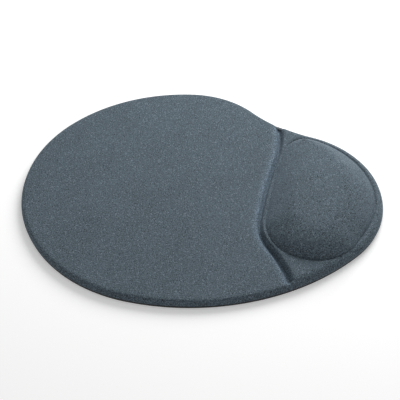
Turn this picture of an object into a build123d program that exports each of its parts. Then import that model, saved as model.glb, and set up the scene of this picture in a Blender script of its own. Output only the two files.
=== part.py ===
from build123d import *
from dataclasses import dataclass, replace
from math import atan2, cos, degrees, hypot, radians, sin, sqrt
import os

# A soft desk pad with a built-in gel wrist rest, in millimetres.
# The flat part lies to the left (-X) and the raised gel pillow to the right (+X).
# Seen from above, each outline is a ring of arcs that run smoothly into each other.

# The pad's outline.
overall_length = 257.3
pad_width = 213.9  # from the near side of the round left end to the far shoulder
wrist_radius = 71.3
wrist_shift = -9.1  # of the wrist end along Y, from the middle of the left end
shoulder_rise = 4.3  # of the far shoulder beyond the round left end
shoulder_radius = 65.5
shoulder_shift = 14.2  # of the far shoulder along X, from the middle of the left end
waist_radius = 110.0
near_flank_flatness = 36.5
far_flank_flatness = 11.8

# The heights above the desk.
pad_level = 7.0
ledge_level = 9.0
pillow_level = 24.0
groove_floor = 4.2  # the rim is rounded from this height up

# The pillow. Its foot follows the wrist end, and has a far and a near corner.
ledge_width = 6.2
far_corner_radius = 14.0
far_corner_angle = 68.5
near_corner_radius = 33.4
near_corner_angle = -53.5
near_corner_tuck = 2.9
pillow_flank_flatness = 440.0
pillow_near_flatness = 900.0
pillow_rounding = 12.0
steepest_rounding = 1.05  # the most the rounding may be, as a share of the wall under it
crown_radius = 420.0
crown_shift_x = 24.0
crown_shift_y = 2.0

# The groove between the flat part and the ledge, with a bend away at each end.
groove_width = 3.4
groove_to_pillow = 4.3  # from the groove's middle line to the pillow's foot
far_bend_radius = 108.0
far_bend_angle = 163.8
far_bend_turn = 38.0
near_bend_radius = 136.0
near_bend_angle = 210.0
near_bend_turn = 28.0

# The layers.
base_thickness = 1.5
base_inset = 0.8
adhesive_thickness = 0.2
adhesive_inset = 1.4
fabric_thickness = 0.7
film_thickness = 0.25
hem_width = 8.0
hem_rounding = 1.5  # of the fabric where it turns under the rim
board_clearance = 0.3
pouch_thickness = 0.3
pocket_depth = 0.4


@dataclass
class Lobe:
    """A circle that carries one arc of an outline. A hollow arc has a negative radius."""

    x: float
    y: float
    radius: float

    def point(self, angle, inset=0.0):
        reach = self.radius - inset
        return self.x + reach * cos(radians(angle)), self.y + reach * sin(radians(angle))


def distance(first, second):
    return hypot(second.x - first.x, second.y - first.y)


def touching(first, second, radius):
    """The lobe of this radius whose arc leads smoothly from the first into the second."""
    gap = distance(first, second)
    to_first = abs(radius - first.radius)
    to_second = abs(radius - second.radius)
    along = (to_first**2 - to_second**2 + gap**2) / (2 * gap)
    aside = sqrt(to_first**2 - along**2) * (1 if radius > 0 else -1)
    step_x = (second.x - first.x) / gap
    step_y = (second.y - first.y) / gap
    x = first.x + along * step_x - aside * step_y
    y = first.y + along * step_y + aside * step_x
    return Lobe(x, y, radius)


def flank(first, second, flatness):
    """A bulging side past two lobes, flatter than the smallest circle round them both."""
    smallest = (distance(first, second) + first.radius + second.radius) / 2
    return touching(first, second, smallest + flatness)


def beside(lobe, angle, radius, tuck=0.0):
    """A lobe that touches the given one at this angle, or reaches past it by the tuck."""
    x, y = lobe.point(angle, radius - tuck)
    return Lobe(x, y, radius)


def meeting_angle(first, second):
    """The outward direction at the point where two neighbouring arcs meet."""
    turn = second.radius - first.radius
    return degrees(atan2((first.y - second.y) / turn, (first.x - second.x) / turn))


def draw_arc(lobe, start, end, inset):
    radius = lobe.radius - inset
    if radius > 0:
        CenterArc((lobe.x, lobe.y), radius, start, (end - start) % 360)
    else:
        CenterArc((lobe.x, lobe.y), -radius, start + 180, -((start - end) % 360))


def draw_ring(lobes, inset):
    """A closed outline of arcs, taken in by the inset."""
    for before, lobe, after in zip(lobes[-1:] + lobes, lobes, lobes[1:] + lobes[:1]):
        draw_arc(lobe, meeting_angle(before, lobe), meeting_angle(lobe, after), inset)


# The pad's outline, anticlockwise from the round left end.
left_radius = (pad_width - shoulder_rise) / 2
left_end = Lobe(left_radius - overall_length / 2, 0, left_radius)
wrist_end = Lobe(overall_length / 2 - wrist_radius, wrist_shift, wrist_radius)
shoulder_y = left_radius + shoulder_rise - shoulder_radius
shoulder = Lobe(left_end.x + shoulder_shift, shoulder_y, shoulder_radius)
near_flank = flank(left_end, wrist_end, near_flank_flatness)
waist = touching(wrist_end, shoulder, -waist_radius)
far_flank = flank(shoulder, left_end, far_flank_flatness)
pad_outline = [left_end, near_flank, wrist_end, waist, shoulder, far_flank]

# The pillow's foot, anticlockwise from its far corner.
pillow_end = replace(wrist_end, radius=wrist_radius - ledge_width)
far_corner = beside(pillow_end, far_corner_angle, far_corner_radius)
near_corner = beside(pillow_end, near_corner_angle, near_corner_radius, near_corner_tuck)
pillow_flank = flank(far_corner, near_corner, pillow_flank_flatness)
pillow_near = flank(near_corner, pillow_end, pillow_near_flatness)
pillow_outline = [far_corner, pillow_flank, near_corner, pillow_near, pillow_end]

# The groove's middle line, from beyond the far rim to beyond the near rim.
groove_flank = replace(pillow_flank, radius=pillow_flank.radius + groove_to_pillow)
groove_turn = replace(near_corner, radius=near_corner.radius + groove_to_pillow)
far_bend = beside(groove_flank, far_bend_angle, -far_bend_radius)
near_bend = beside(groove_turn, near_bend_angle, -near_bend_radius)
groove_start = far_bend_angle + far_bend_turn
groove_end = near_bend_angle - near_bend_turn

# The origin is on the desk, under the middle of the outline's box.
near_edge = near_flank.y - near_flank.radius
far_edge = shoulder.y + shoulder.radius
middle_y = (near_edge + far_edge) / 2

# The heights and depths that follow from the layers.
hem_level = base_thickness + adhesive_thickness
liner_depth = fabric_thickness + film_thickness
gel_depth = liner_depth + pouch_thickness
pocket_floor = ledge_level - liner_depth - pocket_depth
gel_floor = pocket_floor + pouch_thickness


def level(height):
    """The outlines' plane at this height above the desk."""
    return Plane((0, -middle_y, height))


def plate(outline, bottom, thickness, inset):
    """A flat sheet with this outline, taken in by the inset."""
    with BuildPart() as sheet:
        with BuildSketch(level(bottom)):
            with BuildLine():
                draw_ring(outline, inset)
            make_face()
        extrude(amount=thickness)
    return sheet.part


def groove_side(side, depth):
    """All that lies on the pillow's side (1) or the flat part's side (-1) of the groove."""
    inset = side * (groove_width / 2 + depth)
    beyond = overall_length
    far_x, far_y = far_bend.point(groove_start, inset)
    near_x, near_y = near_bend.point(groove_end, inset)
    far_meeting = meeting_angle(far_bend, groove_flank)
    middle_meeting = meeting_angle(groove_flank, groove_turn)
    near_meeting = meeting_angle(groove_turn, near_bend)
    with BuildPart() as whole_side:
        with BuildSketch(level(0)):
            with BuildLine():
                draw_arc(far_bend, groove_start, far_meeting, inset)
                draw_arc(groove_flank, far_meeting, middle_meeting, inset)
                draw_arc(groove_turn, middle_meeting, near_meeting, inset)
                draw_arc(near_bend, near_meeting, groove_end, inset)
                Polyline(
                    (near_x, near_y),
                    (near_x, -beyond),
                    (side * beyond, -beyond),
                    (side * beyond, beyond),
                    (far_x, beyond),
                    (far_x, far_y),
                )
            make_face()
        extrude(amount=pillow_level)
    return whole_side.part


def rounded_block(top, depth):
    """The pad's outline up to this height, rounded at the rim, taken in by the depth."""
    bottom = hem_level + depth
    with BuildPart() as block:
        add(plate(pad_outline, bottom, top - depth - bottom, depth))
        fillet(top_face(block).edges(), top - groove_floor - depth)
        fillet(block.faces().sort_by(Axis.Z)[0].edges(), hem_rounding - depth)
    return block.part


def domed_plate(bottom, depth):
    """The pillow's outline under the dome, taken in by the depth, with its edge sharp."""
    crown = (pillow_end.x + crown_shift_x, pillow_end.y + crown_shift_y - middle_y)
    with BuildPart() as block:
        add(plate(pillow_outline, bottom, pillow_level - bottom, depth))
        with Locations((*crown, pillow_level - crown_radius)):
            Sphere(crown_radius - depth, rotation=(90, 0, 0), mode=Mode.INTERSECT)
    return block.part


def top_face(part):
    return part.faces().sort_by(Axis.Z)[-1]


# A low wall under the dome's edge limits the pillow's rounding.
dome_edge = top_face(domed_plate(pocket_floor, 0)).bounding_box().min.Z
edge_rounding = min(pillow_rounding, steepest_rounding * (dome_edge - pocket_floor))


def pillow_block(bottom, depth):
    """The pillow above this height, with a gently domed top, taken in by the depth."""
    with BuildPart() as block:
        add(domed_plate(bottom, depth))
        fillet(top_face(block).edges(), edge_rounding - depth)
    return block.part


def low_form(depth):
    """The form under the cover without the pillow: flat part, groove and ledge."""
    with BuildPart() as flat_part:
        add(rounded_block(pad_level, depth))
        add(groove_side(-1, depth), mode=Mode.INTERSECT)
    with BuildPart() as ledge:
        add(rounded_block(ledge_level, depth))
        add(groove_side(1, depth), mode=Mode.INTERSECT)
    with BuildPart() as form:
        add(rounded_block(pad_level, depth))
        split(bisect_by=Plane.XY.offset(groove_floor - depth), keep=Keep.BOTTOM)
        add(flat_part.part)
        add(ledge.part)
    return form.part


def full_form(depth):
    """The form under the cover with the pillow, taken in by the depth."""
    with BuildPart() as form:
        add(low_form(depth))
        add(pillow_block(pocket_floor, depth))
    return form.part


outer_form = full_form(0)
film_form = full_form(fabric_thickness)
foam_form = full_form(liner_depth)
hem_opening = plate(pad_outline, hem_level, liner_depth, hem_width)

with BuildPart() as non_slip_base:
    add(plate(pad_outline, 0, base_thickness, base_inset))

with BuildPart() as base_adhesive:
    add(plate(pad_outline, base_thickness, adhesive_thickness, adhesive_inset))

with BuildPart() as stiffener_board:
    add(plate(pad_outline, hem_level, liner_depth, hem_width + board_clearance))

with BuildPart() as fabric_cover:
    add(outer_form)
    add(film_form, mode=Mode.SUBTRACT)
    add(hem_opening, mode=Mode.SUBTRACT)

with BuildPart() as cover_film:
    add(film_form)
    add(foam_form, mode=Mode.SUBTRACT)
    add(hem_opening, mode=Mode.SUBTRACT)

with BuildPart() as foam_body:
    add(low_form(liner_depth))
    add(plate(pillow_outline, pocket_floor, pillow_level, liner_depth), mode=Mode.SUBTRACT)

with BuildPart() as gel_pouch_lower_film:
    add(plate(pillow_outline, pocket_floor, pouch_thickness, liner_depth))

with BuildPart() as gel_pouch_upper_film:
    add(pillow_block(gel_floor, liner_depth))
    add(pillow_block(gel_floor, gel_depth), mode=Mode.SUBTRACT)

with BuildPart() as gel_core:
    add(pillow_block(gel_floor, gel_depth))

nodes = {
    "non_slip_base": non_slip_base,
    "base_adhesive": base_adhesive,
    "stiffener_board": stiffener_board,
    "fabric_cover": fabric_cover,
    "cover_film": cover_film,
    "foam_body": foam_body,
    "gel_pouch_lower_film": gel_pouch_lower_film,
    "gel_pouch_upper_film": gel_pouch_upper_film,
    "gel_core": gel_core,
}

os.makedirs("parts", exist_ok=True)
for name, node in nodes.items():
    node.part.label = name
    export_step(node.part, f"parts/{name}.step")
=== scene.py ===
import math
import bpy
import numpy as np
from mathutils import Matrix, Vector
from mathutils.geometry import delaunay_2d_cdt


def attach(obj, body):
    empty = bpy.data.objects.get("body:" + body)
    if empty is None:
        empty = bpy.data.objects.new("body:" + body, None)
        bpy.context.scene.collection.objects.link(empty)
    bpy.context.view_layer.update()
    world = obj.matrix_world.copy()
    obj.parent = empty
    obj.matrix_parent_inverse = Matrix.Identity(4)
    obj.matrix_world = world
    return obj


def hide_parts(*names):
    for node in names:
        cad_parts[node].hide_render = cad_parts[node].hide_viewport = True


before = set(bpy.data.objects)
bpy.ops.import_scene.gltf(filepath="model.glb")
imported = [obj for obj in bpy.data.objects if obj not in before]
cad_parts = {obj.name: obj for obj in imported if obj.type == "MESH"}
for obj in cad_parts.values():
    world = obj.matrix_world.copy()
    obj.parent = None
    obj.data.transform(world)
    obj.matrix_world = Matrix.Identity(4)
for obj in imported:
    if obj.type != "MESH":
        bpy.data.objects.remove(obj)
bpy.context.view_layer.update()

mm = 0.001
scene = bpy.context.scene


# The pad's outlines: rings of arcs that run smoothly into each other, in millimetres.
# A lobe is (x, y, radius), and a hollow arc has a negative radius.

padShape = {
    "length": 257.3,
    "width": 213.9,
    "shoulderRise": 4.3,
    "shoulderRadius": 65.5,
    "shoulderShift": 14.2,
    "wristRadius": 71.3,
    "wristShift": -9.1,
    "waistRadius": 110.0,
    "nearFlatness": 36.5,
    "farFlatness": 11.8,
}

pillowShape = {
    "ledgeWidth": 6.2,
    "farRadius": 14.0,
    "farAngle": 68.5,
    "nearRadius": 33.4,
    "nearAngle": -53.5,
    "nearTuck": 2.9,
    "flankFlatness": 440.0,
    "nearFlatness": 900.0,
}

grooveShape = {
    "toPillow": 4.3,
    "farRadius": 108.0,
    "farAngle": 163.8,
    "farTurn": 38.0,
    "nearRadius": 136.0,
    "nearAngle": 210.0,
    "nearTurn": 28.0,
}


def touching(first, second, radius):
    gap = math.dist(first[:2], second[:2])
    toFirst = abs(radius - first[2])
    toSecond = abs(radius - second[2])
    along = (toFirst**2 - toSecond**2 + gap**2) / (2 * gap)
    aside = math.sqrt(toFirst**2 - along**2) * (1 if radius > 0 else -1)
    stepX = (second[0] - first[0]) / gap
    stepY = (second[1] - first[1]) / gap
    x = first[0] + along * stepX - aside * stepY
    y = first[1] + along * stepY + aside * stepX
    return (x, y, radius)


def flank(first, second, flatness):
    smallest = (math.dist(first[:2], second[:2]) + first[2] + second[2]) / 2
    return touching(first, second, smallest + flatness)


def beside(lobe, angle, radius, tuck=0.0):
    reach = lobe[2] - radius + tuck
    turn = math.radians(angle)
    return (lobe[0] + reach * math.cos(turn), lobe[1] + reach * math.sin(turn), radius)


def meetingAngle(first, second):
    turn = second[2] - first[2]
    return math.atan2((first[1] - second[1]) / turn, (first[0] - second[0]) / turn)


def arcSamples(lobe, start, end, spacing):
    # points on the arc and their outward directions, without the last one
    if lobe[2] > 0:
        sweep = (end - start) % (2 * math.pi)
    else:
        sweep = -((start - end) % (2 * math.pi))
    count = max(2, round(abs(sweep * lobe[2]) / spacing))
    angles = start + sweep * np.arange(count) / count
    outward = np.column_stack([np.cos(angles), np.sin(angles)])
    return np.array(lobe[:2]) + lobe[2] * outward, outward


def ringSamples(lobes, spacing):
    points, outward = [], []
    for before, lobe, after in zip(lobes[-1:] + lobes, lobes, lobes[1:] + lobes[:1]):
        arc = arcSamples(lobe, meetingAngle(before, lobe), meetingAngle(lobe, after), spacing)
        points.append(arc[0])
        outward.append(arc[1])
    return np.vstack(points), np.vstack(outward)


def lineSamples(lobes, start, end, spacing):
    angles = [start] + [meetingAngle(a, b) for a, b in zip(lobes, lobes[1:])] + [end]
    arcs = [arcSamples(lobe, a, b, spacing) for lobe, a, b in zip(lobes, angles, angles[1:])]
    return np.vstack([arc[0] for arc in arcs]), np.vstack([arc[1] for arc in arcs])


def makeOutlines():
    s, p, g = padShape, pillowShape, grooveShape
    leftRadius = (s["width"] - s["shoulderRise"]) / 2
    leftEnd = (leftRadius - s["length"] / 2, 0.0, leftRadius)
    wristEnd = (s["length"] / 2 - s["wristRadius"], s["wristShift"], s["wristRadius"])
    shoulderY = leftRadius + s["shoulderRise"] - s["shoulderRadius"]
    shoulder = (leftEnd[0] + s["shoulderShift"], shoulderY, s["shoulderRadius"])
    nearFlank = flank(leftEnd, wristEnd, s["nearFlatness"])
    waist = touching(wristEnd, shoulder, -s["waistRadius"])
    farFlank = flank(shoulder, leftEnd, s["farFlatness"])
    pad = [leftEnd, nearFlank, wristEnd, waist, shoulder, farFlank]

    pillowEnd = (wristEnd[0], wristEnd[1], wristEnd[2] - p["ledgeWidth"])
    farCorner = beside(pillowEnd, p["farAngle"], p["farRadius"])
    nearCorner = beside(pillowEnd, p["nearAngle"], p["nearRadius"], p["nearTuck"])
    pillowFlank = flank(farCorner, nearCorner, p["flankFlatness"])
    pillowNear = flank(nearCorner, pillowEnd, p["nearFlatness"])
    pillow = [farCorner, pillowFlank, nearCorner, pillowNear, pillowEnd]

    grooveFlank = (*pillowFlank[:2], pillowFlank[2] + g["toPillow"])
    grooveTurn = (*nearCorner[:2], nearCorner[2] + g["toPillow"])
    farBend = beside(grooveFlank, g["farAngle"], -g["farRadius"])
    nearBend = beside(grooveTurn, g["nearAngle"], -g["nearRadius"])
    groove = [farBend, grooveFlank, grooveTurn, nearBend]

    nearEdge = nearFlank[1] - nearFlank[2]
    farEdge = shoulder[1] + shoulder[2]
    middleY = (nearEdge + farEdge) / 2
    return [[(x, y - middleY, r) for x, y, r in ring] for ring in (pad, pillow, groove)]


padRing, pillowRing, grooveLine = makeOutlines()
grooveStart = math.radians(grooveShape["farAngle"] + grooveShape["farTurn"])
grooveEnd = math.radians(grooveShape["nearAngle"] - grooveShape["nearTurn"])
fineStep = 0.3
padCurve = ringSamples(padRing, fineStep)
pillowCurve = ringSamples(pillowRing, fineStep)
grooveCurve = lineSamples(grooveLine, grooveStart, grooveEnd, fineStep)
print("outlines ready")


def insideDistance(curve, points):
    # how far each point lies inside the curve, and the nearest sample's number
    depth = np.empty(len(points))
    nearest = np.empty(len(points), dtype=int)
    for start in range(0, len(points), 2000):
        some = points[start:start + 2000]
        apart = some[:, None, :] - curve[0][None, :, :]
        index = np.argmin((apart**2).sum(axis=2), axis=1)
        offset = some - curve[0][index]
        depth[start:start + 2000] = -(offset * curve[1][index]).sum(axis=1)
        nearest[start:start + 2000] = index
    return depth, nearest


def smoothStep(value, low, high):
    t = np.clip((value - low) / (high - low), 0, 1)
    return t * t * (3 - 2 * t)


# The fabric cover: one skin over the flat part, groove, ledge and pillow, round the rim
# and under it to the hem's edge. Heights and widths in millimetres.

coverShape = {
    "padLevel": 7.0,
    "ledgeLevel": 9.0,
    "crownLevel": 23.7,
    "crownRadius": 420.0,
    "crownShift": (24.0, 2.0),
    "grooveFloor": 3.5,
    "grooveHalfWidth": 1.6,
    "grooveEndWidth": 2.3,
    "edgeRoll": 0.55,
    "edgeRollWidth": 4.5,
    "padRounding": 3.2,
    "ledgeRounding": 5.4,
    "wallWidth": 15.0,
    "wallExtraLeft": 3.0,
    "wallExtraRight": 4.0,
    "wallExtraNear": 7.5,
    "wallPower": 1.15,
    "wallPowerNear": 1.9,
    "wallRoot": 0.75,
    "wallRootNear": 0.5,
    "seamDepth": 0.9,
    "seamWidth": 0.8,
    "hemLevel": 1.7,
    "hemWidth": 8.0,
    "thickness": 0.7,
    "liningThickness": 0.2,
    # how far each change takes, across the surface or by the way the pillow's side faces
    "wristBlend": 0.8,
    "rollFade": 6.0,
    "grooveWidening": (0.35, 0.8),
    "grooveSteepness": 3.6,
    "grooveNearPart": (0.45, 0.5),
    "grooveNearFade": (1.5, 5.5),
    "seamPlace": 0.3,
    "seamFade": (3.0, 6.0),
    "facesRight": (-0.2, 0.8),
    "facesFar": (0.5, 0.95),
    "facesNear": (0.2, 0.9),
    "facesLeft": (0.3, 0.9),
    "rightShareLost": 0.6,
    # the painted sheen band beside the groove: where it starts, how wide it is, how it fades towards the rim
    "sheenBandStart": 1.2,
    "sheenBandWidth": 4.2,
    "sheenBandFade": (0.5, 4.0),
}


def between(first, second, share):
    return first + (second - first) * share


def coverHeight(points):
    # the skin's height at each point, and how far the point is in the painted sheen band along the groove's
    # edge
    s = coverShape
    rim = insideDistance(padCurve, points)[0]
    across, along = insideDistance(grooveCurve, points)
    foot, footIndex = insideDistance(pillowCurve, points)
    along = along / len(grooveCurve[0])

    # the flat part and the ledge, each rounded towards the rim
    wrist = smoothStep(across, -s["wristBlend"], s["wristBlend"])
    level = between(s["padLevel"], s["ledgeLevel"], wrist)
    rounding = between(s["padRounding"], s["ledgeRounding"], wrist)
    inner = np.clip(1 - rim / rounding, 0, 1)
    height = level - rounding * (1 - np.sqrt(1 - inner**2))

    # the flat part rolls gently down towards the groove, and the groove cuts in
    roll = s["edgeRoll"] * np.exp(-(across / s["edgeRollWidth"])**2) * (1 - wrist)
    height -= roll * smoothStep(rim, 0, s["rollFade"])
    fromMiddle = np.abs(along - 0.5) * 2
    widening = smoothStep(fromMiddle, *s["grooveWidening"])
    halfWidth = between(s["grooveHalfWidth"], s["grooveEndWidth"], widening)
    valley = np.exp(-(np.abs(across) / halfWidth)**s["grooveSteepness"])
    near = smoothStep(along, *s["grooveNearPart"])
    fade = 1 - near * (1 - smoothStep(rim, *s["grooveNearFade"]))
    height -= (height - s["grooveFloor"]) * valley * fade * (height > s["grooveFloor"])

    # the ledge dips into a fine pressed line along the pillow's foot
    seam = s["seamDepth"] * np.exp(-((foot + s["seamPlace"]) / s["seamWidth"])**2)
    height -= seam * (foot < 0) * smoothStep(rim, *s["seamFade"])

    # the pillow: long walls, steeper on the near side, under a gently domed top
    end = pillowRing[-1]
    crown = np.array([end[0] + s["crownShift"][0], end[1] + s["crownShift"][1]])
    fromCrown = ((points - crown)**2).sum(axis=1)
    top = s["crownLevel"] - s["crownRadius"] + np.sqrt(s["crownRadius"]**2 - fromCrown)
    facing = pillowCurve[1][footIndex]
    notFar = 1 - smoothStep(facing[:, 1], *s["facesFar"])
    right = smoothStep(facing[:, 0], *s["facesRight"]) * notFar
    nearSide = smoothStep(-facing[:, 1], *s["facesNear"])
    nearExtra = s["wallExtraNear"] * nearSide * (1 - s["rightShareLost"] * right)
    wall = s["wallWidth"] + s["wallExtraRight"] * right + nearExtra
    wall = wall + s["wallExtraLeft"] * smoothStep(-facing[:, 0], *s["facesLeft"])
    t = np.clip(1 - foot / wall, 0, 1)
    start = s["ledgeLevel"] - s["seamDepth"]
    power = between(s["wallPower"], s["wallPowerNear"], nearSide)
    root = between(s["wallRoot"], s["wallRootNear"], nearSide)
    dome = start + (top - start) * (1 - t**power)**root

    # painted sheen: a lighter band on the flat part beside the groove, where light catches the cloth's edge
    beyond = np.minimum(across + s["sheenBandStart"], 0) / s["sheenBandWidth"]
    paintedSheen = np.exp(-beyond**4) * (1 - wrist) * smoothStep(rim, *s["sheenBandFade"])
    return np.where(foot > 0, dome, height), paintedSheen


def padRim():
    # distance in from the outline and height, from below the top's edge to the hem's edge
    s = coverShape
    hem = s["hemLevel"]
    return [
        (0.66, 5.3), (0.52, 4.98), (0.6, 4.78), (0.5, 4.55), (0.26, 4.15), (0.08, 3.65),
        (0.0, 3.15), (0.1, 2.65), (0.38, 2.2), (0.8, 1.87), (1.4, hem + 0.02), (2.4, hem),
        (5.5, hem), (1.5 + s["hemWidth"], hem),
    ]


def ledgeRim():
    s = coverShape
    hem = s["hemLevel"]
    return [
        (0.74, 6.0), (0.52, 5.5), (0.36, 5.1), (0.24, 4.7), (0.1, 4.2), (0.03, 3.7),
        (0.0, 3.2), (0.08, 2.7), (0.34, 2.22), (0.78, 1.88), (1.4, hem + 0.02), (2.4, hem),
        (5.5, hem), (1.5 + s["hemWidth"], hem),
    ]


def rowInside(curve, inset, spacing):
    # points along a curve, taken in by the inset
    step = max(1, round(spacing / fineStep))
    return curve[0][::step] - inset * curve[1][::step]


# the rows of points that the skin is made from: insets from each curve, and their spacing
coverRows = {
    "edgeInset": 1.0,
    "edgeSpacing": 0.9,
    "rimInsets": [1.5, 2.1, 2.8, 3.6, 4.6, 5.8, 7.4, 9.6, 12.6],
    "grooveInsets": [0, 0.4, 0.8, 1.2, 1.6, 2.05],
    "grooveOutsets": [-2.6, -3.3, -4.2, -5.4, -7.0, -9.0],
    "grooveSpacing": 0.6,
    "ledgeInsets": [2.7, 3.5],
    "footOutsets": [-1.6, -1.1, -0.6, -0.2],
    "wallInsets": [0.0, 0.25, 0.6, 1.0, 1.5, 2.1, 2.8, 3.6, 4.6, 5.8, 7.2, 9.0, 11.2, 14.0, 17.2],
    "netSpacing": 3.2,
    "netRowShare": 0.87,
    "netFromRim": 14.5,
    "netFromGroove": (-10.8, 5.2),
    "netFromFoot": 3.0,
    "netInPillow": 19.0,
}


def distancesOf(points):
    # inside the pad's outline, across the groove, and inside the pillow's foot
    curves = (padCurve, grooveCurve, pillowCurve)
    return [insideDistance(curve, points)[0] for curve in curves]


def coverPoints():
    # rows that follow the rim, the groove and the pillow, and a plain net between them
    c = coverRows
    edgeInset = c["edgeInset"]
    edge = rowInside(padCurve, edgeInset, c["edgeSpacing"])

    rimRows = [rowInside(padCurve, i, c["edgeSpacing"] + 0.12 * i) for i in c["rimInsets"]]
    rows = np.vstack(rimRows)
    rim, across, foot = distancesOf(rows)
    kept = [rows[(np.abs(across) > 4.2) & (foot < -0.9)]]

    grooveInsets = c["grooveInsets"] + [-i for i in c["grooveInsets"][1:]] + c["grooveOutsets"]
    rows = np.vstack([rowInside(grooveCurve, i, c["grooveSpacing"]) for i in grooveInsets])
    rim, across, foot = distancesOf(rows)
    kept.append(rows[(rim > edgeInset + 0.35) & (foot < -1.9)])

    rows = np.vstack([rowInside(grooveCurve, i, c["edgeSpacing"]) for i in c["ledgeInsets"]])
    rim, across, foot = distancesOf(rows)
    kept.append(rows[(rim > edgeInset + 0.5) & (foot < -2.2)])

    # a pillow row is dropped where the curve's own corners fold it over
    pillowInsets = c["footOutsets"] + c["wallInsets"]
    pillowRows = [rowInside(pillowCurve, i, 0.7 + 0.1 * max(i, 0)) for i in pillowInsets]
    rows = np.vstack(pillowRows)
    rim, across, foot = distancesOf(rows)
    inset = np.repeat(pillowInsets, [len(row) for row in pillowRows])
    kept.append(rows[(rim > edgeInset + 0.5) & (np.abs(foot - inset) < 0.05)])

    net = c["netSpacing"]
    xs = np.arange(-140, 140, net)
    ys = np.arange(-125, 125, net * c["netRowShare"])
    gridX, gridY = np.meshgrid(xs, ys)
    gridX = gridX + (np.arange(len(ys)) % 2)[:, None] * net / 2
    rows = np.column_stack([gridX.ravel(), gridY.ravel()])
    rim, across, foot = distancesOf(rows)
    padSide, ledgeSide = c["netFromGroove"]
    onLedge = (across > ledgeSide) & (foot < -c["netFromFoot"])
    onFlat = (foot < 0) & ((across < padSide) | onLedge)
    kept.append(rows[(rim > c["netFromRim"]) & (onFlat | (foot > c["netInPillow"]))])
    return edge, np.vstack(kept)


def buildCover():
    edgeInset = coverRows["edgeInset"]
    edge, inside = coverPoints()
    flat = np.vstack([edge, inside])
    count = len(edge)
    found = delaunay_2d_cdt([Vector(p) for p in flat], [], [list(range(count))], 1, 1e-4)
    top = np.array([v[:] for v in found[0]])
    place = {index[0]: number for number, index in enumerate(found[3]) if index}
    heights, paintedSheen = coverHeight(top)
    vertices = [tuple(v) for v in np.column_stack([top, heights])]
    faces = [list(face) for face in found[2]]
    uvs = [tuple(v) for v in top]

    # the rim and the hem, as strips below the top's edge
    step = max(1, round(coverRows["edgeSpacing"] / fineStep))
    base, outward = padCurve[0][::step], padCurve[1][::step]
    across = insideDistance(grooveCurve, base)[0]
    wrist = smoothStep(across, -2.5, 2.5)
    ring = [place[i] for i in range(count)]
    last = np.column_stack([top[ring], heights[ring]])
    spread = -edgeInset
    for padStep, ledgeStep in zip(padRim(), ledgeRim()):
        inset = between(padStep[0], ledgeStep[0], wrist)
        height = between(padStep[1], ledgeStep[1], wrist)
        now = np.column_stack([base - inset[:, None] * outward, height])
        spread += float(np.median(np.linalg.norm(now - last, axis=1)))
        first = len(vertices)
        vertices += [tuple(v) for v in now]
        uvs += [tuple(v) for v in base + spread * outward]
        newRing = list(range(first, first + count))
        for i in range(count):
            j = (i + 1) % count
            faces.append([ring[i], newRing[i], newRing[j], ring[j]])
        ring, last = newRing, now

    mesh = bpy.data.meshes.new("fabricCover")
    mesh.from_pydata([Vector(v) * mm for v in vertices], [], faces)
    layer = mesh.uv_layers.new(name="cloth")
    loopVertices = np.empty(len(mesh.loops), dtype=int)
    mesh.loops.foreach_get("vertex_index", loopVertices)
    layer.data.foreach_set("uv", (np.array(uvs)[loopVertices] * 0.1).ravel())
    # a mask for the painted sheen, a lighter band beside the groove
    mask = mesh.attributes.new("paintedSheenEdge", "FLOAT", "POINT")
    mask.data.foreach_set("value", np.append(paintedSheen, np.zeros(len(vertices) - len(top))))
    mesh.shade_smooth()
    cover = bpy.data.objects.new("knit_cover", mesh)
    scene.collection.objects.link(cover)
    return cover


def giveWall(piece, thickness):
    # the wall grows inwards, away from the outside of the skin
    wall = piece.modifiers.new("wall", "SOLIDIFY")
    wall.thickness = thickness * mm
    wall.offset = -1


def buildLining(cover):
    # the film under the knit: the same skin, taken in by the knit's thickness
    mesh = cover.data.copy()
    mesh.name = "liningFilm"
    places = np.empty(len(mesh.vertices) * 3)
    normals = np.empty(len(mesh.vertices) * 3)
    mesh.vertices.foreach_get("co", places)
    mesh.vertices.foreach_get("normal", normals)
    mesh.vertices.foreach_set("co", places - normals * (coverShape["thickness"] + 0.02) * mm)
    mesh.update()
    lining = bpy.data.objects.new("cover_lining", mesh)
    scene.collection.objects.link(lining)
    return lining


gelShape = {
    "depth": 1.15,
    "floor": 7.7,
    "leastHeight": 0.3,
    "insets": [1.3, 1.6, 2.1, 2.8, 3.6, 4.8, 6.2, 8.0, 10.0, 12.5, 15.5, 19.0],
    "rowSpacing": 1.5,
    "netSpacing": 5.0,
    "netInset": 21.0,
    "steepest": 4.0,
}


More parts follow.
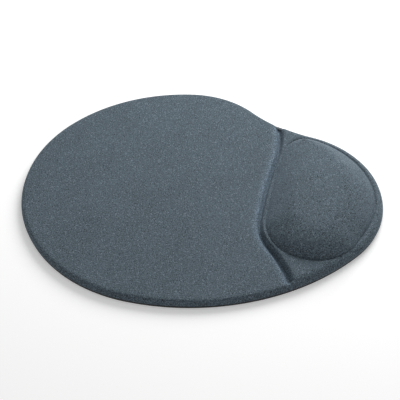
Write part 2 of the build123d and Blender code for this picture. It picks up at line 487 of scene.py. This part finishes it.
def buildGelPillow():
    # the gel in its pouch: the pillow's own form, just under the lining, on a flat floor
    s = gelShape
    insets = s["insets"]
    edge = rowInside(pillowCurve, insets[0], s["rowSpacing"])
    kept = []
    for inset in insets[1:]:
        row = rowInside(pillowCurve, inset, s["rowSpacing"])
        kept.append(row[np.abs(insideDistance(pillowCurve, row)[0] - inset) < 0.05])
    net = np.arange(-70.0, 70.0, s["netSpacing"])
    gridX, gridY = np.meshgrid(net + pillowRing[-1][0], net + pillowRing[-1][1])
    grid = np.column_stack([gridX.ravel(), gridY.ravel()])
    kept.append(grid[insideDistance(pillowCurve, grid)[0] > s["netInset"]])
    flat = np.vstack([edge] + kept)
    found = delaunay_2d_cdt([Vector(p) for p in flat], [], [list(range(len(edge)))], 1, 1e-4)
    top = np.array([v[:] for v in found[0]])
    place = {index[0]: number for number, index in enumerate(found[3]) if index}
    heights = coverHeight(top)[0]
    # on a slope the same depth is more, measured straight down
    slopeX = (coverHeight(top + [0.05, 0])[0] - coverHeight(top - [0.05, 0])[0]) / 0.1
    slopeY = (coverHeight(top + [0, 0.05])[0] - coverHeight(top - [0, 0.05])[0]) / 0.1
    drop = s["depth"] * np.minimum(np.sqrt(1 + slopeX**2 + slopeY**2), s["steepest"])
    heights = np.maximum(heights - drop, s["floor"] + s["leastHeight"])
    vertices = [tuple(v) for v in np.column_stack([top, heights])]
    faces = [list(face) for face in found[2]]
    ring = [place[i] for i in range(len(edge))]
    floorRing = list(range(len(vertices), len(vertices) + len(ring)))
    vertices += [(vertices[i][0], vertices[i][1], s["floor"]) for i in ring]
    for i in range(len(ring)):
        j = (i + 1) % len(ring)
        faces.append([ring[i], floorRing[i], floorRing[j], ring[j]])
    faces.append(floorRing[::-1])
    mesh = bpy.data.meshes.new("gelPillow")
    mesh.from_pydata([Vector(v) * mm for v in vertices], [], faces)
    pillow = bpy.data.objects.new("gel_pillow", mesh)
    scene.collection.objects.link(pillow)
    return pillow


cover = buildCover()
skinArea = sum(face.area for face in cover.data.polygons)
lining = buildLining(cover)
giveWall(cover, coverShape["thickness"])
giveWall(lining, coverShape["liningThickness"])
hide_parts("fabric_cover")
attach(cover, "root")
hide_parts("cover_film")
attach(lining, "root")
print("cover", len(cover.data.polygons), "faces, area", round(skinArea, 4))

gelPillow = buildGelPillow()
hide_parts("gel_core", "gel_pouch_upper_film")
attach(gelPillow, "root")


# The rubber base: a thin plate with a plain border, and small grip nubs inside it

baseShape = {
    "inset": 0.8,
    "thickness": 1.5,
    "edgeBevel": 0.2,
    "borderWidth": 6.0,
    "recess": 0.3,
    "nubSpacing": 4.4,
    "nubFoot": 1.25,
    "nubTip": 0.95,
    "nubSides": 8,
}


def buildBase():
    s = baseShape
    inset, bevel = s["inset"], s["edgeBevel"]
    border = inset + s["borderWidth"]
    profile = [
        (inset + 0.1, s["thickness"]), (inset, s["thickness"] - 0.1), (inset, bevel), (inset + bevel, 0.0),
        (border, 0.0), (border + s["recess"], s["recess"]),
    ]
    vertices, faces = [], []
    count = 0
    for inward, height in profile:
        row = rowInside(padCurve, inward, 1.5)
        count = len(row)
        vertices += [(x, y, height) for x, y in row]
    for row in range(len(profile) - 1):
        for i in range(count):
            j = (i + 1) % count
            upper, lower = row * count, (row + 1) * count
            faces.append([upper + i, lower + i, lower + j, upper + j])
    faces.append(list(range(count)))
    last = (len(profile) - 1) * count
    faces.append([last + i for i in reversed(range(count))])
    mesh = bpy.data.meshes.new("rubberBase")
    mesh.from_pydata([Vector(v) * mm for v in vertices], [], faces)
    plate = bpy.data.objects.new("rubber_base", mesh)
    scene.collection.objects.link(plate)
    return plate


def gripPlaces():
    # a net of points, each row half a step along from the last, clear of the border
    s = baseShape
    step = s["nubSpacing"]
    xs = np.arange(-padShape["length"] / 2, padShape["length"] / 2, step)
    ys = np.arange(-padShape["width"] / 2, padShape["width"] / 2, step * math.sqrt(3) / 2)
    gridX, gridY = np.meshgrid(xs, ys)
    gridX = gridX + (np.arange(len(ys)) % 2)[:, None] * step / 2
    places = np.column_stack([gridX.ravel(), gridY.ravel()])
    clear = insideDistance(padCurve, places)[0]
    return places[clear > s["inset"] + s["borderWidth"] + s["recess"] + s["nubFoot"] + 0.8]


def nubTree(material):
    tree = bpy.data.node_groups.new("gripNubs", "GeometryNodeTree")
    tree.interface.new_socket("Places", in_out="INPUT", socket_type="NodeSocketGeometry")
    for name in ("Tip Radius", "Foot Radius", "Height"):
        tree.interface.new_socket(name, in_out="INPUT", socket_type="NodeSocketFloat")
    tree.interface.new_socket("Sides", in_out="INPUT", socket_type="NodeSocketInt")
    tree.interface.new_socket("Nubs", in_out="OUTPUT", socket_type="NodeSocketGeometry")
    nodes, links = tree.nodes, tree.links
    given = nodes.new("NodeGroupInput")
    nub = nodes.new("GeometryNodeMeshCone")
    spread = nodes.new("GeometryNodeInstanceOnPoints")
    real = nodes.new("GeometryNodeRealizeInstances")
    finish = nodes.new("GeometryNodeSetMaterial")
    result = nodes.new("NodeGroupOutput")
    finish.inputs["Material"].default_value = material
    links.new(given.outputs["Sides"], nub.inputs["Vertices"])
    links.new(given.outputs["Foot Radius"], nub.inputs["Radius Top"])
    links.new(given.outputs["Tip Radius"], nub.inputs["Radius Bottom"])
    links.new(given.outputs["Height"], nub.inputs["Depth"])
    links.new(given.outputs["Places"], spread.inputs["Points"])
    links.new(nub.outputs["Mesh"], spread.inputs["Instance"])
    links.new(spread.outputs["Instances"], real.inputs["Geometry"])
    links.new(real.outputs["Geometry"], finish.inputs["Geometry"])
    links.new(finish.outputs["Geometry"], result.inputs["Nubs"])
    return tree


def buildNubs(material):
    s = baseShape
    mesh = bpy.data.meshes.new("nubPlaces")
    mesh.from_pydata([(x * mm, y * mm, 0.0) for x, y in gripPlaces()], [], [])
    holder = bpy.data.objects.new("nubPlaces", mesh)
    scene.collection.objects.link(holder)
    modifier = holder.modifiers.new("nubs", "NODES")
    modifier.node_group = nubTree(material)
    wanted = {
        "Tip Radius": s["nubTip"] * mm,
        "Foot Radius": s["nubFoot"] * mm,
        "Height": (s["recess"] + 0.05) * mm,
        "Sides": s["nubSides"],
    }
    for item in modifier.node_group.interface.items_tree:
        if item.name in wanted:
            modifier[item.identifier] = wanted[item.name]
    ready = holder.evaluated_get(bpy.context.evaluated_depsgraph_get())
    made = bpy.data.meshes.new_from_object(ready)
    bpy.data.objects.remove(holder)
    nubs = bpy.data.objects.new("grip_nubs", made)
    scene.collection.objects.link(nubs)
    return nubs


# Materials. The grain groups put out masks and heights, and each material uses its own values.

def addNode(tree, kind, values=None, **settings):
    node = tree.nodes.new(kind)
    for name, value in settings.items():
        setattr(node, name, value)
    for name, value in (values or {}).items():
        node.inputs[name].default_value = value
    return node


def mathNode(tree, operation, first, second):
    node = tree.nodes.new("ShaderNodeMath")
    node.operation = operation
    for socket, value in zip(node.inputs, (first, second)):
        if isinstance(value, (int, float)):
            socket.default_value = value
        else:
            tree.links.new(value, socket)
    return node.outputs[0]


def spanNode(tree, value, low, high, toLow, toHigh):
    spans = {"From Min": low, "From Max": high, "To Min": toLow, "To Max": toHigh}
    node = addNode(tree, "ShaderNodeMapRange", spans)
    tree.links.new(value, node.inputs["Value"])
    return node.outputs["Result"]


def makeGroup(name, inputs, outputs):
    tree = bpy.data.node_groups.new(name, "ShaderNodeTree")
    for label, kind, value in inputs:
        socket = tree.interface.new_socket(label, in_out="INPUT", socket_type="NodeSocket" + kind)
        if value is not None:
            socket.default_value = value
    for label, kind in outputs:
        tree.interface.new_socket(label, in_out="OUTPUT", socket_type="NodeSocket" + kind)
    return tree, tree.nodes.new("NodeGroupInput"), tree.nodes.new("NodeGroupOutput")


def grainGroup():
    # soft mottling in three sizes: Tone is about 1, Height about 0.5
    tree, given, result = makeGroup(
        "grain",
        [("Place", "Vector", None), ("Fine Scale", "Float", 1000.0), ("Broad Scale", "Float", 30.0),
         ("Contrast", "Float", 0.3), ("Broad Contrast", "Float", 0.08)],
        [("Tone", "Float"), ("Height", "Float")],
    )
    links = tree.links
    fine = addNode(tree, "ShaderNodeTexNoise", {"Detail": 2.0, "Roughness": 0.65})
    broad = addNode(tree, "ShaderNodeTexNoise", {"Detail": 2.0, "Roughness": 0.5})
    for node, scale in ((fine, "Fine Scale"), (broad, "Broad Scale")):
        links.new(given.outputs["Place"], node.inputs["Vector"])
        links.new(given.outputs[scale], node.inputs["Scale"])
    fineSpread = spanNode(tree, fine.outputs["Fac"], 0.3, 0.7, -1.0, 1.0)
    broadSpread = spanNode(tree, broad.outputs["Fac"], 0.3, 0.7, -1.0, 1.0)
    fineTone = mathNode(tree, "MULTIPLY", fineSpread, given.outputs["Contrast"])
    broadTone = mathNode(tree, "MULTIPLY", broadSpread, given.outputs["Broad Contrast"])
    tone = mathNode(tree, "ADD", mathNode(tree, "ADD", fineTone, broadTone), 1.0)
    links.new(tone, result.inputs["Tone"])
    links.new(fine.outputs["Fac"], result.inputs["Height"])
    return tree


def knitGroup():
    # rows of small stitches along the cloth, and sparse bright fibres
    tree, given, result = makeGroup(
        "knit",
        [("Cloth", "Vector", None), ("Place", "Vector", None), ("Stitch Scale", "Float", 1.0),
         ("Fibre Scale", "Float", 700.0), ("Fibre Share", "Float", 0.1)],
        [("Stitch", "Float"), ("Fibres", "Float")],
    )
    links = tree.links
    waves = []
    for direction in ("X", "Y"):
        wave = addNode(
            tree, "ShaderNodeTexWave", {"Distortion": 0.6, "Detail": 1.0, "Detail Scale": 2.0},
            wave_type="BANDS", bands_direction=direction, wave_profile="SIN",
        )
        links.new(given.outputs["Cloth"], wave.inputs["Vector"])
        links.new(given.outputs["Stitch Scale"], wave.inputs["Scale"])
        waves.append(wave.outputs["Fac"])
    links.new(mathNode(tree, "MULTIPLY", *waves), result.inputs["Stitch"])
    cells = addNode(tree, "ShaderNodeTexVoronoi")
    links.new(given.outputs["Place"], cells.inputs["Vector"])
    links.new(given.outputs["Fibre Scale"], cells.inputs["Scale"])
    chance = addNode(tree, "ShaderNodeSeparateColor")
    links.new(cells.outputs["Color"], chance.inputs["Color"])
    least = mathNode(tree, "SUBTRACT", 1.0, given.outputs["Fibre Share"])
    chosen = mathNode(tree, "GREATER_THAN", chance.outputs[0], least)
    spot = spanNode(tree, cells.outputs["Distance"], 0.2, 0.6, 1.0, 0.0)
    links.new(mathNode(tree, "MULTIPLY", chosen, spot), result.inputs["Fibres"])
    return tree


grain = grainGroup()
knit = knitGroup()


def newMaterial(name):
    material = bpy.data.materials.new(name)
    material.use_nodes = True
    return material, material.node_tree, material.node_tree.nodes["Principled BSDF"]


def addGroup(tree, group, values, sources):
    node = tree.nodes.new("ShaderNodeGroup")
    node.node_tree = group
    for name, value in values.items():
        node.inputs[name].default_value = value
    for name, source in sources.items():
        tree.links.new(source, node.inputs[name])
    return node


def mixColours(tree, share, first, second, blend="MIX"):
    node = addNode(tree, "ShaderNodeMix", data_type="RGBA", blend_type=blend)
    for socket, value in ((node.inputs[0], share), (node.inputs[6], first), (node.inputs[7], second)):
        if isinstance(value, (float, tuple)):
            socket.default_value = value
        else:
            tree.links.new(value, socket)
    return node.outputs[2]


def addBump(tree, shader, height, strength, depth):
    bump = addNode(tree, "ShaderNodeBump", {"Strength": strength, "Distance": depth})
    tree.links.new(height, bump.inputs["Height"])
    tree.links.new(bump.outputs["Normal"], shader.inputs["Normal"])


knitLook = {
    "yarn": (0.081, 0.110, 0.133, 1),
    # a lighter, bluer yarn colour: painted sheen on the band beside the groove
    "sheenPaintedYarn": (0.118, 0.164, 0.208, 1),
    "fibre": (0.23, 0.285, 0.34, 1),
    "grainScale": 1450.0,
    "contrast": 1.0,
    "broadScale": 35.0,
    "broadContrast": 0.06,
    "stitchScale": 5.0,
    "fibreScale": 1250.0,
    "fibreShare": 0.1,
}


def knitMaterial():
    v = knitLook
    material, tree, shader = newMaterial("darkKnit")
    links = tree.links
    place = addNode(tree, "ShaderNodeTexCoord")
    cloth = addNode(tree, "ShaderNodeUVMap", uv_map="cloth")
    mottle = addGroup(
        tree, grain,
        {"Fine Scale": v["grainScale"], "Broad Scale": v["broadScale"], "Contrast": v["contrast"],
         "Broad Contrast": v["broadContrast"]},
        {"Place": place.outputs["Object"]},
    )
    stitches = addGroup(
        tree, knit,
        {"Stitch Scale": v["stitchScale"], "Fibre Scale": v["fibreScale"], "Fibre Share": v["fibreShare"]},
        {"Cloth": cloth.outputs["UV"], "Place": place.outputs["Object"]},
    )
    # the painted sheen band beside the groove mixes in the lighter, bluer yarn colour
    paintedSheen = addNode(tree, "ShaderNodeAttribute", attribute_name="paintedSheenEdge")
    yarn = mixColours(tree, paintedSheen.outputs["Fac"], v["yarn"], v["sheenPaintedYarn"])
    scaled = addNode(tree, "ShaderNodeVectorMath", operation="SCALE")
    links.new(yarn, scaled.inputs[0])
    links.new(mottle.outputs["Tone"], scaled.inputs["Scale"])
    colour = mixColours(tree, stitches.outputs["Fibres"], scaled.outputs["Vector"], v["fibre"])
    links.new(colour, shader.inputs["Base Color"])
    links.new(spanNode(tree, mottle.outputs["Height"], 0.3, 0.7, 0.95, 0.72), shader.inputs["Roughness"])
    shader.inputs["Specular IOR Level"].default_value = 0.25
    shader.inputs["Sheen Weight"].default_value = 0.12
    shader.inputs["Sheen Roughness"].default_value = 0.45
    shader.inputs["Sheen Tint"].default_value = (0.62, 0.8, 1.0, 1)
    height = mathNode(
        tree, "ADD", mathNode(tree, "MULTIPLY", stitches.outputs["Stitch"], 0.5), mottle.outputs["Height"],
    )
    addBump(tree, shader, height, 0.45, 0.00018)
    return material


# every other finish: its colour, the roughness from and to, and the grain's scale and depth
finishes = {
    "rubber": {"colour": (0.018, 0.019, 0.020, 1), "roughness": (0.62, 0.86), "scale": 1400.0, "bump": 0.00006},
    "film": {"colour": (0.42, 0.47, 0.5, 1), "roughness": (0.22, 0.4), "scale": 300.0, "bump": 0.00002},
    "foam": {"colour": (0.05, 0.05, 0.052, 1), "roughness": (0.85, 1.0), "scale": 1800.0, "bump": 0.0002},
    "gel": {"colour": (0.36, 0.55, 0.66, 1), "roughness": (0.05, 0.14), "scale": 60.0, "bump": 0.00005},
    "board": {"colour": (0.34, 0.27, 0.19, 1), "roughness": (0.7, 0.9), "scale": 700.0, "bump": 0.00004},
    "adhesive": {"colour": (0.62, 0.6, 0.5, 1), "roughness": (0.3, 0.5), "scale": 500.0, "bump": 0.00004},
}


def plainMaterial(name):
    v = finishes[name]
    material, tree, shader = newMaterial(name + "Finish")
    place = addNode(tree, "ShaderNodeTexCoord")
    mottle = addGroup(
        tree, grain,
        {"Fine Scale": v["scale"], "Broad Scale": v["scale"] / 25, "Contrast": 0.14, "Broad Contrast": 0.1},
        {"Place": place.outputs["Object"]},
    )
    scaled = addNode(tree, "ShaderNodeVectorMath", {0: v["colour"][:3]}, operation="SCALE")
    tree.links.new(mottle.outputs["Tone"], scaled.inputs["Scale"])
    tree.links.new(scaled.outputs["Vector"], shader.inputs["Base Color"])
    roughness = spanNode(tree, mottle.outputs["Height"], 0.3, 0.7, *v["roughness"])
    tree.links.new(roughness, shader.inputs["Roughness"])
    addBump(tree, shader, mottle.outputs["Height"], 0.5, v["bump"])
    if name == "gel":
        shader.inputs["Transmission Weight"].default_value = 0.7
        shader.inputs["IOR"].default_value = 1.42
    return material


materials = {name: plainMaterial(name) for name in finishes}
cover.data.materials.append(knitMaterial())
lining.data.materials.append(materials["film"])
gelPillow.data.materials.append(materials["gel"])

base = buildBase()
base.data.materials.append(materials["rubber"])
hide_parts("non_slip_base")
nubs = buildNubs(materials["rubber"])
for piece in (base, nubs):
    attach(piece, "root")
print("base", len(nubs.data.polygons), "nub faces")

carried = {
    "base_adhesive": "adhesive",
    "stiffener_board": "board",
    "foam_body": "foam",
    "gel_pouch_lower_film": "film",
}
for node, finish in carried.items():
    piece = bpy.data.objects[node]
    if not piece.material_slots:
        piece.data.materials.append(materials[finish])
    for slot in piece.material_slots:
        slot.material = materials[finish]
print("materials ready")


# The camera, the light and the floor

view = {
    "aim": (-0.0012, -0.0046, 0.0),
    "distance": 0.9045,
    "elevation": 44.0,
    "fieldOfView": 18.0,
}

studio = {
    "lampPlace": (0.24, 0.48, 0.42),
    "lampAim": (0.0, 0.03, 0.0),
    "lampSize": 0.5,
    "lampPower": 4.6,
    "worldLight": 0.36,
    "floorColour": (0.92, 0.92, 0.92, 1),
    "floorGlow": 0.29,
}


def makeCamera():
    lens = bpy.data.cameras.new("camera")
    lens.sensor_width = 36
    lens.lens = 18 / math.tan(math.radians(view["fieldOfView"] / 2))
    camera = bpy.data.objects.new("camera", lens)
    scene.collection.objects.link(camera)
    tilt = math.radians(view["elevation"])
    aim = Vector(view["aim"])
    camera.location = aim + view["distance"] * Vector((0, -math.cos(tilt), math.sin(tilt)))
    camera.rotation_euler = (math.pi / 2 - tilt, 0, 0)
    scene.camera = camera


def makeLamp():
    lamp = bpy.data.lights.new("softLamp", "AREA")
    lamp.shape = "DISK"
    lamp.size = studio["lampSize"]
    lamp.energy = studio["lampPower"]
    light = bpy.data.objects.new("softLamp", lamp)
    scene.collection.objects.link(light)
    place = Vector(studio["lampPlace"])
    light.location = place
    light.rotation_euler = (Vector(studio["lampAim"]) - place).to_track_quat("-Z", "Y").to_euler()


def seenDirectly(tree):
    # 1 where the camera, a reflection or a view through glass meets the surface
    path = addNode(tree, "ShaderNodeLightPath")
    seen = mathNode(tree, "MAXIMUM", path.outputs["Is Camera Ray"], path.outputs["Is Glossy Ray"])
    return mathNode(tree, "MAXIMUM", seen, path.outputs["Is Transmission Ray"])


def makeFloor():
    mesh = bpy.data.meshes.new("floor")
    half, low = 4.0, -0.00005  # just clear of the base, in metres
    corners = [(-half, -half, low), (half, -half, low), (half, half, low), (-half, half, low)]
    mesh.from_pydata(corners, [], [(0, 1, 2, 3)])
    floor = bpy.data.objects.new("floor", mesh)
    scene.collection.objects.link(floor)
    material, tree, shader = newMaterial("paleFloor")
    shader.inputs["Base Color"].default_value = studio["floorColour"]
    shader.inputs["Roughness"].default_value = 1.0
    shader.inputs["Specular IOR Level"].default_value = 0.0
    shader.inputs["Emission Color"].default_value = (1, 1, 1, 1)
    glow = mathNode(tree, "MULTIPLY", seenDirectly(tree), studio["floorGlow"])
    tree.links.new(glow, shader.inputs["Emission Strength"])
    # seen from below, the floor is clear, so that the underside shows
    side = addNode(tree, "ShaderNodeNewGeometry")
    clear = addNode(tree, "ShaderNodeBsdfTransparent")
    choose = addNode(tree, "ShaderNodeMixShader")
    tree.links.new(side.outputs["Backfacing"], choose.inputs[0])
    tree.links.new(shader.outputs[0], choose.inputs[1])
    tree.links.new(clear.outputs[0], choose.inputs[2])
    tree.links.new(choose.outputs[0], tree.nodes["Material Output"].inputs["Surface"])
    mesh.materials.append(material)


def makeWorld():
    world = bpy.data.worlds.new("studio")
    world.use_nodes = True
    tree = world.node_tree
    background = tree.nodes["Background"]
    background.inputs["Color"].default_value = (1, 1, 1, 1)
    extra = mathNode(tree, "MULTIPLY", seenDirectly(tree), 1 - studio["worldLight"])
    tree.links.new(mathNode(tree, "ADD", extra, studio["worldLight"]), background.inputs["Strength"])
    scene.world = world


makeCamera()
makeFloor()
makeLamp()
makeWorld()
scene.view_settings.view_transform = "Standard"
print("studio ready")
